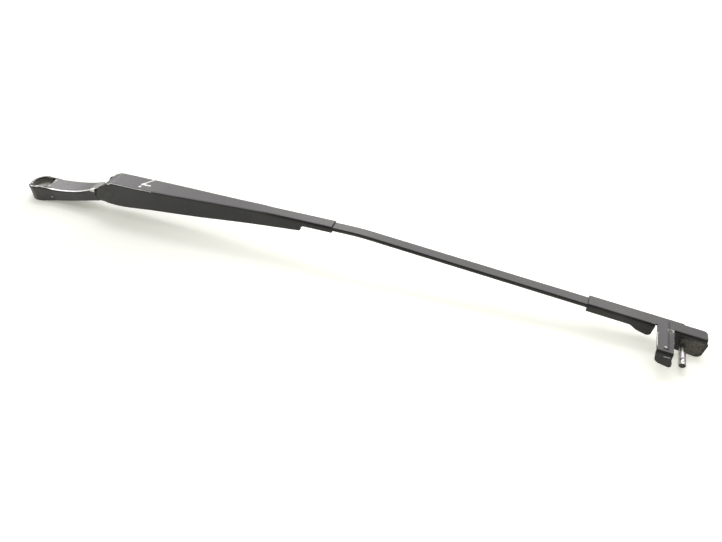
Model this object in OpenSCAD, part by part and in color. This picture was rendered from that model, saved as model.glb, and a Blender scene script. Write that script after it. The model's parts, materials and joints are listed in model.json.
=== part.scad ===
// Windscreen wiper arm for a side-pin blade with a locking strap.
// Origin: the spindle axis, on the underside of the head's boss.
// +X runs along the arm to the blade end, +Y is the plain side, +Z is up.
// The side pin and the strap point to -Y. The arm stands on its boss and its tip plate.

/* [Head] */
// Outer radius of the eye that fits over the spindle
eye_r = 12.2; // [11.2:0.1:13]
// Height of the rim round the nut pocket
rim_h = 14.3; // [13:0.1:16]
// Radius of the boss's foot
foot_r = 11.9; // [11.4:0.1:12.9]
// Radius of the nut pocket
pocket_r = 9.2; // [8:0.1:9.6]
// Height of the pocket's floor, the face the nut seats on
floor_h = 7.5; // [6:0.5:9]
// Radius of the round stud hole under the nut
stud_hole_r = 4.1; // [3.6:0.1:4.6]
// Length of the round part of the stud hole
stud_land = 2; // [1.5:0.1:3]
// Radius of the tapered seat at its small upper end
taper_top_r = 4.9; // [4.7:0.1:5.2]
// Radius of the tapered seat at its large lower end
taper_bottom_r = 5.7; // [5.4:0.1:6.5]
// Greatest half width of the head's arm behind the hinge
head_half_w = 9.6; // [9:0.1:10.4]
// Half width of the hinge lugs
lug_half_w = 7.4; // [6.8:0.1:7.6]
// Radius of the hinge knuckle
knuckle_r = 7.8; // [7:0.1:8]
// Wall left above the cored underside
core_roof = 3.6; // [3:0.2:5]
// Wall left on each side of the cored underside
core_side = 3.2; // [2.6:0.2:4]

/* [Hinge] */
// Distance from the spindle axis to the hinge
hinge_x = 99; // [97:0.5:102]
// Height of the hinge axis
hinge_z = 29.5; // [29:0.1:30]
// Radius of the hinge rivet's shank
rivet_r = 2.75; // [2.5:0.05:3]
// Radius of the rivet's flat heads
rivet_head_r = 4.8; // [4.2:0.1:5.4]
// Height of the rivet's flat heads
rivet_head_h = 0.6; // [0.4:0.1:1.2]
// Running clearance between the rivet and its bushes
running_gap = 0.05; // [0.03:0.01:0.08]
// Wall of the plastic hinge bushes
bush_wall = 1.2; // [1:0.1:1.6]
// Radius of the bush flanges
bush_flange_r = 6.2; // [5.4:0.1:6.8]

/* [Spring gear] */
// Distance from the hinge back to the spring's anchor pin
anchor_back = 6.5; // [6.2:0.1:7]
// Distance from the hinge down to the spring's anchor pin
anchor_down = 6; // [5.8:0.1:6.4]
// Radius of the anchor pin
anchor_r = 1.75; // [1.5:0.05:2]
// Thickness of the link plate
link_t = 2.6; // [2.2:0.1:2.8]
// Width of the link's bent arm
link_w = 2.6; // [2.2:0.1:2.8]
// Distance from the anchor pin to the spring's hook
link_reach = 19; // [18.5:0.1:20]
// Spring wire diameter
wire_d = 2; // [1.8:0.1:2.1]
// Outer diameter of the spring's coils
coil_d = 10.4; // [9.6:0.1:10.6]
// Distance between the coils while the spring is stretched
coil_pitch = 2.9; // [2.6:0.1:3.4]
// Radius of the middle line of the spring's end hooks
hook_r = 3.6; // [3.5:0.05:3.8]

/* [Retainer] */
// Thickness of the retainer's sheet steel
sheet = 1.2; // [1:0.1:1.3]
// Half width over the retainer's rear
retainer_half_w = 9.3; // [9.2:0.1:10]
// Distance from the hinge to the end of the crimped neck
retainer_reach = 226.8; // [222:0.5:240]
// Length of the neck crimped round the rod
neck_len = 26.7; // [22:0.5:32]
// Height of the top over the deep rear part
rear_top_z = 42; // [41.2:0.1:42.6]
// Height of the top over the neck
neck_top_z = 44.4; // [43.8:0.1:46]
// Height of the side walls' lower edge below the hinge
wall_rear_z = 16.3; // [15.5:0.1:17]
// Height of the side walls' lower edge where the neck begins
wall_front_z = 33.4; // [31:0.2:34]
// Outer radius of the long bends
bend_r = 2.4; // [2:0.1:2.8]

/* [Rod] */
// Width of the flat rod
rod_w = 9; // [8.4:0.1:9.2]
// Thickness of the flat rod
rod_t = 3.5; // [3.2:0.1:3.8]
// Distance from the neck's end to the middle of the rod's bend
rod_bend_reach = 23; // [20:1:40]
// Middle line radius of the rod's bend
rod_bend_r = 220; // [120:10:260]
// Distance from the rod's bend to the front of the tip bracket
tip_reach = 183.2; // [150:1:240]
// Distance the rod's rear tab lies below the rod
tab_drop = 5.95; // [5.4:0.05:6.4]

/* [Tip bracket] */
// Thickness of the bracket's sheet steel
tip_sheet = 1.5; // [1.3:0.1:1.6]
// Length of the flanges folded under the rod
clamp_len = 32; // [26:1:34]
// Length of the walls and crimp lobes behind the clamp
lobe_len = 15.7; // [14.6:0.1:18]
// Distance the crimp lobes reach below the rod's top face
lobe_depth = 10; // [8:0.5:11]
// Width of the locking strap
strap_w = 11.3; // [10.4:0.1:11.8]
// Distance from the rod's middle to the strap's outer face
strap_reach = 29.6; // [28:0.2:32]
// Height of the strap's folded lip
lip_h = 12.6; // [10:0.2:14]
// Distance from the strap to the side pin
pin_gap = 10.3; // [9.6:0.1:12]
// Distance from the side pin to the bracket's tip
nose_len = 12.7; // [11.2:0.1:15]
// Depth of the pin's axis below the rod's top face
pin_drop = 10.3; // [9.5:0.1:11]
// Distance the tip plate reaches below the rod's top face
plate_depth = 16.4; // [15:0.2:18]
// Diameter of the side pin
pin_d = 4.8; // [4.6:0.05:5]
// Length of the side pin beyond the plate
pin_len = 18.9; // [16.9:0.2:20.9]
// Radius of the pin's riveted end, which passes through the plate
tenon_r = 2; // [1.8:0.1:2.1]

/* [Hidden] */
$fn = 64;

// Small amount by which a cutting shape passes a face
over = 1;
// Gap on each side of the hinge between a bush flange and a cheek
side_gap = 0.1;
// Slack left for the spring's hook in the link, for its stretch while the arm passes mid lift
hook_slack = 2.3;
// Distance that a hook's curve takes up in the thickness of the rod's tab
hook_curve = hook_r - sqrt(pow(hook_r, 2) - pow(rod_t / 2, 2)) + 0.15;
// Radius of the holes that the spring's hooks pass through
hook_hole_r = wire_d / 2 + 0.5;
// Gap on each side of the link plate in the head's slot
slot_gap = 0.5;
// Gap between the rivet and the link's throat
throat_gap = 0.45;
// Full lift of the arm from its rest
lift = 70;

// Height of the head's arm at the hinge lugs
lug_top_z = hinge_z - 0.5;
// Place of the anchor pin
anchor_x = hinge_x - anchor_back;
anchor_z = hinge_z - anchor_down;
// Half width of the slot that holds the link
slot_half = link_t / 2 + slot_gap;

// Retainer places along X
cheek_back = 18.6;
web_back = 3;
taper_start = 26.5;
straight_len = 30.6;
cheek_rear_x = hinge_x - cheek_back;
web_rear_x = hinge_x - web_back;
taper_from_x = hinge_x + taper_start;
retainer_end_x = hinge_x + retainer_reach;
neck_from_x = retainer_end_x - neck_len;
taper_to_x = neck_from_x - straight_len;
neck_half_w = rod_w / 2 + sheet;
rod_top_z = neck_top_z - sheet;
neck_bottom_z = rod_top_z - rod_t - sheet;

// Rod places: the middle line of its level part and its rear tab
rod_mid_z = rod_top_z - rod_t / 2;
tab_z = rod_mid_z - tab_drop;
hook_reach = 134.5;
hook_x = hinge_x + hook_reach;
tab_tail = 1.8;
tab_hole_x = hook_x + hook_r - wire_d / 2 - hook_curve + hook_hole_r;
jog_angle = 25;
jog_r = 8;
jog_run = (tab_drop - 2 * jog_r * (1 - cos(jog_angle))) / sin(jog_angle);
jog_len = 2 * jog_r * sin(jog_angle) + jog_run * cos(jog_angle);
tab_lead = 12.7;
jog_end_x = hook_x + tab_lead + jog_len;
bend_x = retainer_end_x + rod_bend_reach;

// Places along the tip bracket, from its front end
relief = 1.4;
lobe_end = clamp_len + lobe_len;
strap_start = lobe_end + relief;
strap_end = strap_start + strap_w;
pin_reach = strap_end + pin_gap;
bracket_len = pin_reach + nose_len;

// Tip plate: the middle of its lowest rounded corner, measured from the rod's bend
plate_corner_r = 3.8;
// Length by which the plate's front runs on past the flat top
plate_lead = 1.7;
plate_front = bracket_len + plate_lead;
plate_corner_x = tip_reach + plate_front - plate_corner_r;
plate_corner_z = -(plate_depth - plate_corner_r);
// Fall of the rod beyond its bend, which sets the tip plate on the ground
rod_fall = asin((rod_top_z - plate_corner_r) / norm([plate_corner_x, plate_corner_z]))
    - atan2(-plate_corner_z, plate_corner_x);

// Line of the spring from the anchor pin to the rod's hook hole
line_dx = hook_x - anchor_x;
line_dz = tab_z - anchor_z;
line_len = norm([line_dx, line_dz]);
line_angle = atan2(line_dz, line_dx);
// Same line when the arm is fully lifted
hook_dx = hook_x - hinge_x;
hook_dz = tab_z - hinge_z;
lifted_x = hinge_x + hook_dx * cos(lift) - hook_dz * sin(lift);
lifted_z = hinge_z + hook_dx * sin(lift) + hook_dz * cos(lift);
lifted_angle = atan2(lifted_z - anchor_z, lifted_x - anchor_x);

// Colours
black_paint = [0.20, 0.20, 0.20];
head_paint = [0.34, 0.33, 0.34];
bare_steel = [0.72, 0.72, 0.70];
zinc_plate = [0.62, 0.63, 0.60];
nylon = [0.86, 0.84, 0.78];

// Smooth step from 0 to 1
function ease(t) = let (s = min(1, max(0, t))) (1 - cos(180 * s)) / 2;
function lerp(a, b, t) = a + (b - a) * min(1, max(0, t));

// Points of an arc about a middle in a plane
function arc(middle, r, from, to, steps = 4) =
    [for (i = [0:steps])
        middle + r * [cos(from + (to - from) * i / steps), sin(from + (to - from) * i / steps)]];

// Half width of the retainer and height of its top along X
function retainer_half(x) =
    lerp(retainer_half_w, neck_half_w, ease((x - taper_from_x) / (taper_to_x - taper_from_x)));
function retainer_top(x) =
    let (rise_from = hinge_x + 36.5, rise_to = hinge_x + 159.5, droop = 1 - (x - web_rear_x) / 11)
    lerp(rear_top_z, neck_top_z, (x - rise_from) / (rise_to - rise_from))
    - 3.4 * pow(min(1.4, max(0, droop)), 2);

// Cross sections in Y and Z
function rounded_section(half_w, low, high, r_low, r_high) = concat(
    arc([half_w - r_low, low + r_low], r_low, -90, 0),
    arc([half_w - r_high, high - r_high], r_high, 0, 90),
    arc([-half_w + r_high, high - r_high], r_high, 90, 180),
    arc([-half_w + r_low, low + r_low], r_low, 180, 270)
);
function channel_section(half_w, low, high, wall, r) = concat(
    [[half_w, low]],
    arc([half_w - r, high - r], r, 0, 90),
    arc([-half_w + r, high - r], r, 90, 180),
    [[-half_w, low], [-half_w + wall, low]],
    arc([-half_w + r, high - r], r - wall, 180, 90),
    arc([half_w - r, high - r], r - wall, 90, 0),
    [[half_w - wall, low]]
);
function at_x(x, section) = [for (p = section) [x, p[0], p[1]]];

// Skin over a row of rings that hold the same number of points.
// The ends of a thin open channel are closed by a strip of four-sided faces.
module skin(rings, thin = false) {
    n = len(rings[0]);
    last = len(rings) - 1;
    points = [for (ring = rings) each ring];
    sides = [for (i = [0:last - 1], j = [0:n - 1])
        let (k = (j + 1) % n, a = i * n + j, b = i * n + k, c = a + n, d = b + n)
        each [[a, c, d], [a, d, b]]];
    first_cap = thin
        ? [for (j = [0:n / 2 - 2]) [j, j + 1, n - 2 - j, n - 1 - j]]
        : [[for (j = [0:n - 1]) j]];
    last_cap = [for (face = first_cap) [for (j = [len(face) - 1:-1:0]) last * n + face[j]]];
    polyhedron(points, concat(sides, first_cap, last_cap), convexity = 8);
}

// Outline in X and Z, given a width along Y
module slab(width, middle_y = 0) {
    translate([0, middle_y, 0]) rotate([90, 0, 0]) linear_extrude(width, center = true) children();
}

// Round bar along Y between two places
module cross_bar(x, z, r, from_y, to_y) {
    translate([x, to_y, z]) rotate([90, 0, 0]) cylinder(r = r, h = to_y - from_y);
}

// The head's arm from the eye to the lugs
module head_arm() {
    stations = [
        [0, eye_r - 1.4, 0.2, rim_h - 0.3],
        [10.5, head_half_w + 0.3, 0.9, rim_h + 1.3],
        [21.5, head_half_w, 2.6, rim_h + 2],
        [31.5, head_half_w, 4.6, rim_h + 2.9],
        [42.5, head_half_w - 0.1, 6.9, rim_h + 4.3],
        [53.5, head_half_w - 0.5, 9.3, hinge_z - 8.9],
        [61.5, lug_half_w + 1.2, 10.9, hinge_z - 7],
        [68.5, lug_half_w + 0.4, 12.2, hinge_z - 4.9],
        [hinge_x - 24.5, lug_half_w, 13.4, hinge_z - 2.8],
        [hinge_x - 18.5, lug_half_w, 14.7, lug_top_z - 0.6],
        [hinge_x - 10.5, lug_half_w, 16.4, lug_top_z],
        [hinge_x - 2.5, lug_half_w, 17.6, lug_top_z]
    ];
    skin([for (s = stations) at_x(s[0], rounded_section(s[1], s[2], s[3], 1.2, 1.8))]);
}

// Hollow that the casting has on its underside
module head_core() {
    slab(2 * (head_half_w - core_side)) polygon([
        [18, -over], [18, rim_h + 1.6 - core_roof], [31.5, rim_h + 2.7 - core_roof],
        [42.5, rim_h + 4.1 - core_roof], [53.5, hinge_z - 9.1 - core_roof], [60.5, hinge_z - 7.4 - core_roof],
        [62.5, hinge_z - 8.4 - core_roof], [62.5, -over]
    ]);
}

// Eye for the nut, on a boss whose foot spreads away from the arm
module eye_blank() {
    edge = 1.1;
    foot_h = 0.8;
    rotate_extrude() polygon(concat(
        [[0, 0], [eye_r - 0.7, 0], [eye_r, 0.7]],
        arc([eye_r - edge, rim_h - edge], edge, 0, 90),
        [[0, rim_h]]
    ));
    hull() {
        translate([-1.9, 0, 0]) cylinder(r = foot_r, h = foot_h, $fn = 48);
        translate([0, 0, rim_h * 0.6]) cylinder(r = eye_r - 0.15, h = foot_h, $fn = 48);
    }
}

module nut_pocket() {
    translate([0, 0, floor_h]) cylinder(r = pocket_r, h = rim_h);
    // The pocket's wall toward the hinge opens into a ramp
    intersection() {
        ramp_foot = floor_h + 2.5;
        translate([0, 0, ramp_foot])
            cylinder(r1 = pocket_r, r2 = pocket_r + 5.2, h = rim_h + 2.2 - ramp_foot);
        translate([0, -pocket_r + 0.6, ramp_foot]) cube([3 * pocket_r, 2 * pocket_r - 1.2, rim_h]);
    }
}

module spindle_seat() {
    translate([0, 0, -over]) cylinder(r = stud_hole_r, h = floor_h + 2 * over);
    rotate_extrude() polygon([
        [0, -over], [taper_bottom_r, -over], [taper_bottom_r, 0], [taper_top_r, floor_h - stud_land],
        [0, floor_h - stud_land]
    ]);
}

// Slot between the lugs, open below and above, that the link swings in
module link_slot() {
    rear = 4.3;
    slab(2 * slot_half) polygon([
        [anchor_x - rear, 0], [anchor_x - rear, anchor_z + 1], [hinge_x - 5.8, hinge_z + knuckle_r + over],
        [hinge_x + knuckle_r + 2 * over, hinge_z + knuckle_r + over], [hinge_x + knuckle_r + 2 * over, 0]
    ]);
}

module head() {
    color(head_paint) difference() {
        union() {
            eye_blank();
            head_arm();
            cross_bar(hinge_x, hinge_z, knuckle_r, -lug_half_w, lug_half_w);
            // Foot of the lugs under the knuckle
            slab(2 * lug_half_w) polygon([
                [hinge_x - 10.5, 18], [hinge_x - 2.5, 17.6], [hinge_x + 2, 18.4],
                [hinge_x + 5.5, hinge_z - 5], [hinge_x, hinge_z]
            ]);
        }
        nut_pocket();
        spindle_seat();
        head_core();
        link_slot();
        cross_bar(hinge_x, hinge_z, rivet_r + running_gap + bush_wall, -lug_half_w - over, lug_half_w + over);
        cross_bar(anchor_x, anchor_z, anchor_r, -lug_half_w - over, lug_half_w + over);
    }
}

// Flanged bush, pressed into one lug
module hinge_bush() {
    bore = rivet_r + running_gap;
    flange_t = retainer_half(hinge_x) - sheet - side_gap - lug_half_w;
    translate([hinge_x, 0, hinge_z]) rotate([90, 0, 0]) rotate_extrude() polygon([
        [bore, slot_half], [bore + bush_wall, slot_half], [bore + bush_wall, lug_half_w],
        [bush_flange_r, lug_half_w], [bush_flange_r, lug_half_w + flange_t], [bore, lug_half_w + flange_t]
    ]);
}

module hinge_bush_near() {
    color(nylon) hinge_bush();
}

module hinge_bush_far() {
    color(nylon) mirror([0, 1, 0]) hinge_bush();
}

// Rivet that joins the cheeks, with a low head on each side
module hinge_rivet() {
    face = retainer_half(hinge_x);
    top = face + rivet_head_h;
    rim = rivet_head_r - 0.5;
    color(black_paint) translate([hinge_x, 0, hinge_z]) rotate([90, 0, 0]) rotate_extrude() polygon([
        [0, -top], [rim, -top],
        [rivet_head_r, -face - rivet_head_h / 2], [rivet_head_r, -face], [rivet_r, -face],
        [rivet_r, face], [rivet_head_r, face], [rivet_head_r, face + rivet_head_h / 2], [rim, top], [0, top]
    ]);
}

module anchor_pin() {
    color(bare_steel) cross_bar(anchor_x, anchor_z, anchor_r, -lug_half_w + 0.2, lug_half_w - 0.2);
}

// Everything on the spring's line is drawn from the anchor pin along X
module on_spring_line() {
    translate([anchor_x, 0, anchor_z]) rotate([0, -line_angle, 0]) children();
}

// Straight bar with round ends, in a plane
module stadium(from, to, w) {
    span = to - from;
    translate(from) {
        circle(d = w);
        rotate(atan2(span[1], span[0])) translate([0, -w / 2]) square([norm(span), w]);
    }
    translate(to) circle(d = w);
}

// Link with an arm bent round the path that the rivet takes past it
module spring_link() {
    reach_to_hinge = norm([anchor_back, anchor_down]);
    deepest = atan2(anchor_down, anchor_back) - lifted_angle;
    throat_r = rivet_r + throat_gap;
    knee = reach_to_hinge * [cos(deepest), sin(deepest)];
    offset_r = throat_r + link_w / 2;
    low = knee + offset_r * [cos(deepest - 115), sin(deepest - 115)];
    front = knee + offset_r * [cos(-62), sin(-62)];
    rise = knee + offset_r * [1, 0];
    hook = [link_reach, 0];
    nose = [link_reach + wire_d / 2 + hook_slack - hook_hole_r, 0];
    nose_w = 2 * hook_hole_r + 3;
    color(zinc_plate) on_spring_line() slab(link_t) difference() {
        union() {
            circle(r = anchor_r + link_w * 0.75);
            stadium([0, 0], low, link_w);
            stadium(low, knee + offset_r * [cos(-90), sin(-90)], link_w);
            stadium(knee + offset_r * [cos(-90), sin(-90)], front, link_w);
            stadium(front, rise, link_w);
            stadium(rise, hook, link_w);
            stadium(hook, nose, nose_w);
        }
        circle(r = anchor_r + running_gap);
        stadium(hook, nose, 2 * hook_hole_r);
        translate(knee) circle(r = throat_r);
    }
}

// Places along the spring's line: the middles of its two hooks
rear_hook_s = link_reach + hook_r;
front_hook_s = line_len;
coil_r = (coil_d - wire_d) / 2;
hook_lead = 5.2;
coil_from = rear_hook_s + hook_lead;
coil_to = front_hook_s - hook_lead;
coil_turns = floor((coil_to - coil_from) / coil_pitch);
steps_per_turn = 12;

function bezier(a, b, c, d, steps) = [for (i = [1:steps - 1]) let (t = i / steps, u = 1 - t)
    u * u * u * a + 3 * u * u * t * b + 3 * u * t * t * c + t * t * t * d];

// The rear hook lies in X and Y, the front hook in X and Z
rear_hook = [for (a = [-300:30:-30]) [rear_hook_s + hook_r * cos(a + 15), hook_r * sin(a + 15), 0]];
front_hook = [for (a = [-150:30:120]) [front_hook_s + hook_r * cos(a + 15), 0, hook_r * sin(a + 15)]];
helix = [for (i = [0:coil_turns * steps_per_turn]) let (a = 360 * i / steps_per_turn)
    [coil_from + (coil_to - coil_from) * i / (coil_turns * steps_per_turn),
     coil_r * sin(a), -coil_r * cos(a)]];
spring_path = concat(
    rear_hook,
    bezier(rear_hook[9], rear_hook[9] + [1.3, 1.3, 0], helix[0] - [0, 2.4, 0], helix[0], 4),
    helix,
    bezier(helix[len(helix) - 1], helix[len(helix) - 1] + [0, 2.4, 0], front_hook[0] + [-1.3, 0, 1.3],
        front_hook[0], 4),
    front_hook
);

function unit(v) = v / norm(v);
// Direction of the path at a point
function heading(path, i) = unit(path[min(len(path) - 1, i + 1)] - path[max(0, i - 1)]);
// Side vector carried along the path without twist
function level(v, t) = unit(v - (v * t) * t);
function carried(path, start) =
    [for (i = 0, v = level(start, heading(path, 0)); i < len(path); i = i + 1,
        v = level(v, heading(path, min(i, len(path) - 1)))) v];

module wire(path, d, sides, start) {
    across = carried(path, start);
    skin([for (i = [0:len(path) - 1]) let (t = heading(path, i), v = across[i], w = cross(t, v))
        [for (k = [0:sides - 1]) path[i] + d / 2 * (cos(360 * k / sides) * v + sin(360 * k / sides) * w)]]);
}

module tension_spring() {
    color(zinc_plate) on_spring_line() wire(spring_path, wire_d, 6, [0, 0, 1]);
}

// Side view of the retainer's walls
module retainer_profile() {
    far_top = neck_top_z + 2 * over;
    run = web_rear_x - cheek_rear_x;
    rise = retainer_top(web_rear_x) - hinge_z;
    polygon(concat(
        [[cheek_rear_x + 0.6, wall_rear_z + 1.7], [cheek_rear_x, wall_rear_z + 4.7]],
        [[cheek_rear_x + 1, hinge_z - 5]],
        [[cheek_rear_x + run * 0.218, hinge_z - 0.5], [cheek_rear_x + run * 0.474, hinge_z + rise * 0.473]],
        [[cheek_rear_x + run * 0.769, hinge_z + rise * 0.758]],
        [[web_rear_x - 1, retainer_top(web_rear_x - 1)], [web_rear_x - 1, far_top]],
        [[retainer_end_x, far_top], [retainer_end_x, neck_bottom_z], [neck_from_x, neck_bottom_z]],
        arc([neck_from_x - 4.4, wall_front_z + 3], 2.8, 20, -80),
        [[hinge_x + 99.5, lerp(wall_rear_z, wall_front_z, 0.47)]],
        [[hinge_x + 45.5, lerp(wall_rear_z, wall_front_z, 0.24)]],
        [[hinge_x + 19, wall_rear_z + 0.9], [hinge_x + 8.5, wall_rear_z], [hinge_x + 1.5, wall_rear_z]],
        [[hinge_x - 6, wall_rear_z + 0.3], [hinge_x - 11, wall_rear_z + 1.3]]
    ));
}

module retainer() {
    stations = concat(
        [for (x = [cheek_rear_x - over:3.5:taper_from_x - 6]) x],
        [for (i = [0:16]) taper_from_x + (taper_to_x - taper_from_x) * i / 16],
        [neck_from_x - 6, neck_from_x]
    );
    color(black_paint) difference() {
        union() {
            intersection() {
                skin([for (x = stations)
                    at_x(x, channel_section(
                        retainer_half(x), wall_rear_z - over, retainer_top(x), sheet, bend_r))],
                    thin = true);
                slab(4 * retainer_half_w) retainer_profile();
            }
            // Neck, folded right round the rod with a seam below
            translate([neck_from_x, 0, 0]) rotate([90, 0, 90]) linear_extrude(neck_len) difference() {
                polygon(rounded_section(neck_half_w, neck_bottom_z, neck_top_z, 1.4, bend_r));
                translate([-rod_w / 2, rod_top_z - rod_t]) square([rod_w, rod_t]);
                translate([-0.6, neck_bottom_z - over]) square([1.2, sheet + 2 * over]);
            }
        }
        // The top stops short of the cheeks' rear ends
        web_half = retainer_half(web_rear_x) - 1.6;
        translate([cheek_rear_x - 2 * over, -web_half, hinge_z])
            cube([web_rear_x - cheek_rear_x + 2 * over, 2 * web_half, 30]);
        cross_bar(hinge_x, hinge_z, rivet_r, -2 * retainer_half_w, 2 * retainer_half_w);
    }
}

// Cross section of the flat bar, whose rounded edges lie in the retainer's bends
bar_round = bend_r - sheet;
bar_section = rounded_section(rod_w / 2, -rod_t / 2, rod_t / 2, bar_round, bar_round);

// Places and headings along a flat bar that is bent up or down after each straight length.
// Each step holds the straight length, the turn in degrees and the bend's middle line radius.
function bar_places(steps, from = [0, 0], a = 0, i = 0) = i >= len(steps) ? [] :
    let (run = steps[i][0], turn = steps[i][1], r = steps[i][2] * sign(turn))
    let (corner = from + run * [cos(a), sin(a)], middle = corner + r * [-sin(a), cos(a)])
    let (parts = max(1, ceil(abs(turn) / 3)) * (abs(turn) < 10 ? 4 : 1))
    let (bend = turn == 0 ? [] : [for (k = [1:parts]) let (b = a + turn * k / parts)
        [middle + r * [sin(b), -cos(b)], b]])
    concat([[from, a], [corner, a]], turn == 0 ? [] : [for (k = [0:parts - 2]) bend[k]],
        bar_places(steps, turn == 0 ? corner : bend[parts - 1][0], a + turn, i + 1));

// Rod with the tab that the spring pulls on
module rod() {
    tab_start = hook_x - tab_tail;
    bend_half = rod_bend_r * tan(rod_fall / 2);
    places = bar_places([
        [jog_end_x - jog_len - tab_start, jog_angle, jog_r],
        [jog_run, -jog_angle, jog_r],
        [bend_x - jog_end_x - bend_half, -rod_fall, rod_bend_r],
        [tip_reach + strap_start - 2 - bend_half, 0, 0]
    ], [tab_start, tab_z]);
    color(black_paint) difference() {
        skin([for (s = places) [for (p = bar_section)
            [s[0][0] - p[1] * sin(s[1]), p[0], s[0][1] + p[1] * cos(s[1])]]]);
        translate([tab_hole_x, 0, tab_z - rod_t]) cylinder(r = hook_hole_r, h = 2 * rod_t);
    }
}

// The tip bracket is drawn from its front end, on the rod's top face
module at_tip() {
    translate([bend_x, 0, rod_top_z]) rotate([0, rod_fall, 0]) translate([tip_reach, 0, 0]) children();
}

tip_half_w = rod_w / 2 + tip_sheet;
tip_bend_r = 2.2;
plate_rear = strap_end + relief + 1.6;

// Side view of the wall that has the crimp lobe
module clamp_wall_profile() {
    floor = -rod_t - tip_sheet;
    polygon(concat(
        [[0, 3], [0, floor], [clamp_len, floor]],
        [[clamp_len + lobe_len * 0.32, floor - (lobe_depth - 5) * 0.62]],
        [[lobe_end - lobe_len * 0.38, -lobe_depth + 0.6]],
        arc([lobe_end - 2.5, -lobe_depth + 2.5], 2.5, -100, -10, 4),
        [[lobe_end, -2], [lobe_end, 3]]
    ));
}

// Side view of the plate that carries the pin
module plate_profile() {
    r = plate_corner_r;
    polygon(concat(
        [[plate_rear - 1.5, 3], [plate_rear, -2], [plate_rear + 0.8, -8]],
        arc([plate_rear + 5.2, -plate_depth + 4.4], 3.6, 190, 262, 4),
        arc([plate_front - r, -plate_depth + r], r, 270, 360, 6),
        [[plate_front, -3.4], [bracket_len + plate_lead * 0.7, -1.8]],
        [[bracket_len, tip_sheet - tip_bend_r], [bracket_len, 3]]
    ));
}

module flat_wall(outer_y) {
    slab(tip_sheet, outer_y) children();
}

// Flat top of the bracket, with the strap and its folded lip
module bracket_top() {
    corner = 3;
    lip_r = 2.6;
    inner_w = tip_half_w - tip_bend_r;
    linear_extrude(tip_sheet) {
        translate([0, -inner_w]) square([bracket_len - corner, 2 * inner_w]);
        translate([bracket_len - corner - over, -inner_w]) square([corner + over, 2 * inner_w - corner]);
        translate([bracket_len - corner, inner_w - corner]) circle(r = corner);
    }
    translate([strap_start, -strap_reach + lip_r, 0]) cube([strap_w, strap_reach - lip_r, tip_sheet]);
    // Fold from the strap down into the lip
    translate([strap_start, -strap_reach + lip_r, tip_sheet - lip_r]) rotate([0, 90, 0])
        rotate([0, 0, 180]) rotate_extrude(angle = 90)
            translate([lip_r - tip_sheet, 0]) square([tip_sheet, strap_w]);
    lip_profile(lip_r);
}

module lip_profile(lip_r) {
    r = 5.6;
    lean = 2.4;
    low = tip_sheet - lip_h;
    translate([0, -strap_reach + tip_sheet / 2, 0]) slab(tip_sheet) polygon(concat(
        [[strap_start, tip_sheet - lip_r], [strap_start + 0.5, -2.6]],
        arc([strap_start + 1.1 + r, low + 0.9 + r], r, 184, 258, 7),
        arc([strap_end + lean - 1.5, low + 1.5], 1.5, 262, 360, 4),
        [[strap_end + lean - 0.3, low + 3.9], [strap_end + 0.6, low + 7], [strap_end, tip_sheet - lip_r]]
    ));
}

// Long bend on one edge of the bracket
module edge_bend(from, to, side) {
    mirror([0, side, 0]) translate([from, -tip_half_w + tip_bend_r, tip_sheet - tip_bend_r])
        rotate([0, 90, 0]) rotate([0, 0, 180]) rotate_extrude(angle = 90)
            translate([tip_bend_r - tip_sheet, 0]) square([tip_sheet, to - from]);
}

module tip_bracket() {
    wall_top = tip_sheet - tip_bend_r;
    wall_mid = tip_half_w - tip_sheet / 2;
    floor = -rod_t - tip_sheet;
    rib_w = 5;
    flange_end = bracket_len - 16;
    rib_h = 0.8;
    color(black_paint) at_tip() difference() {
        union() {
            bracket_top();
            for (side = [0, 1]) {
                edge_bend(0, lobe_end, side);
                mirror([0, side, 0]) {
                    intersection() {
                        flat_wall(-wall_mid) clamp_wall_profile();
                        translate([-over, -tip_half_w, floor - 20])
                            cube([bracket_len, 2 * tip_half_w, wall_top - floor + 20]);
                    }
                    // Flange folded under the rod
                    translate([0, -tip_half_w + tip_sheet - 0.01, floor])
                        cube([clamp_len, rod_w / 2 - 0.6, tip_sheet]);
                }
            }
            edge_bend(plate_rear - 1.5, bracket_len, 0);
            intersection() {
                flat_wall(-wall_mid) plate_profile();
                translate([0, -tip_half_w, -40]) cube([plate_front + over, tip_half_w, 40 + wall_top]);
            }
            // Low flange along the plain side
            edge_bend(strap_start - relief - over, flange_end, 1);
            translate([strap_start - relief - over, tip_half_w - tip_sheet, -rod_t]) {
                cube([flange_end - strap_start + relief + over, tip_sheet, rod_t + wall_top]);
            }
            // Stiffening rib pressed up along the strap
            translate([strap_start + strap_w * 0.55, 0, tip_sheet]) rotate([90, 0, 0]) {
                translate([0, 0, -2]) linear_extrude(strap_reach - 2) polygon([
                    [-rib_w / 2, -0.2], [-rib_w / 2 + 0.9, rib_h], [rib_w / 2 - 0.9, rib_h], [rib_w / 2, -0.2]
                ]);
            }
        }
        translate([pin_reach, 0, -pin_drop]) rotate([90, 0, 0]) cylinder(r = tenon_r, h = 2 * tip_half_w);
    }
}

// Side pin, riveted over on the inside of the plate
module side_pin() {
    inner = tip_half_w - tip_sheet;
    outer = tip_half_w + pin_len;
    end_break = 0.4;
    rivet_h = 1;
    button_r = tenon_r + 1;
    color(bare_steel) at_tip() translate([pin_reach, 0, -pin_drop]) rotate([90, 0, 0])
        rotate_extrude() polygon([
        [0, inner - rivet_h], [button_r - 0.4, inner - rivet_h], [button_r, inner - rivet_h * 0.6],
        [button_r, inner], [tenon_r, inner], [tenon_r, tip_half_w], [pin_d / 2, tip_half_w],
        [pin_d / 2, outer - end_break], [pin_d / 2 - end_break, outer], [0, outer]
    ]);
}

head();
hinge_bush_near();
hinge_bush_far();
hinge_rivet();
anchor_pin();
spring_link();
tension_spring();
retainer();
rod();
tip_bracket();
side_pin();
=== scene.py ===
# A windscreen wiper arm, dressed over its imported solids: casting, folded sheet, rod, pin and spring.
import json
import math

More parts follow.
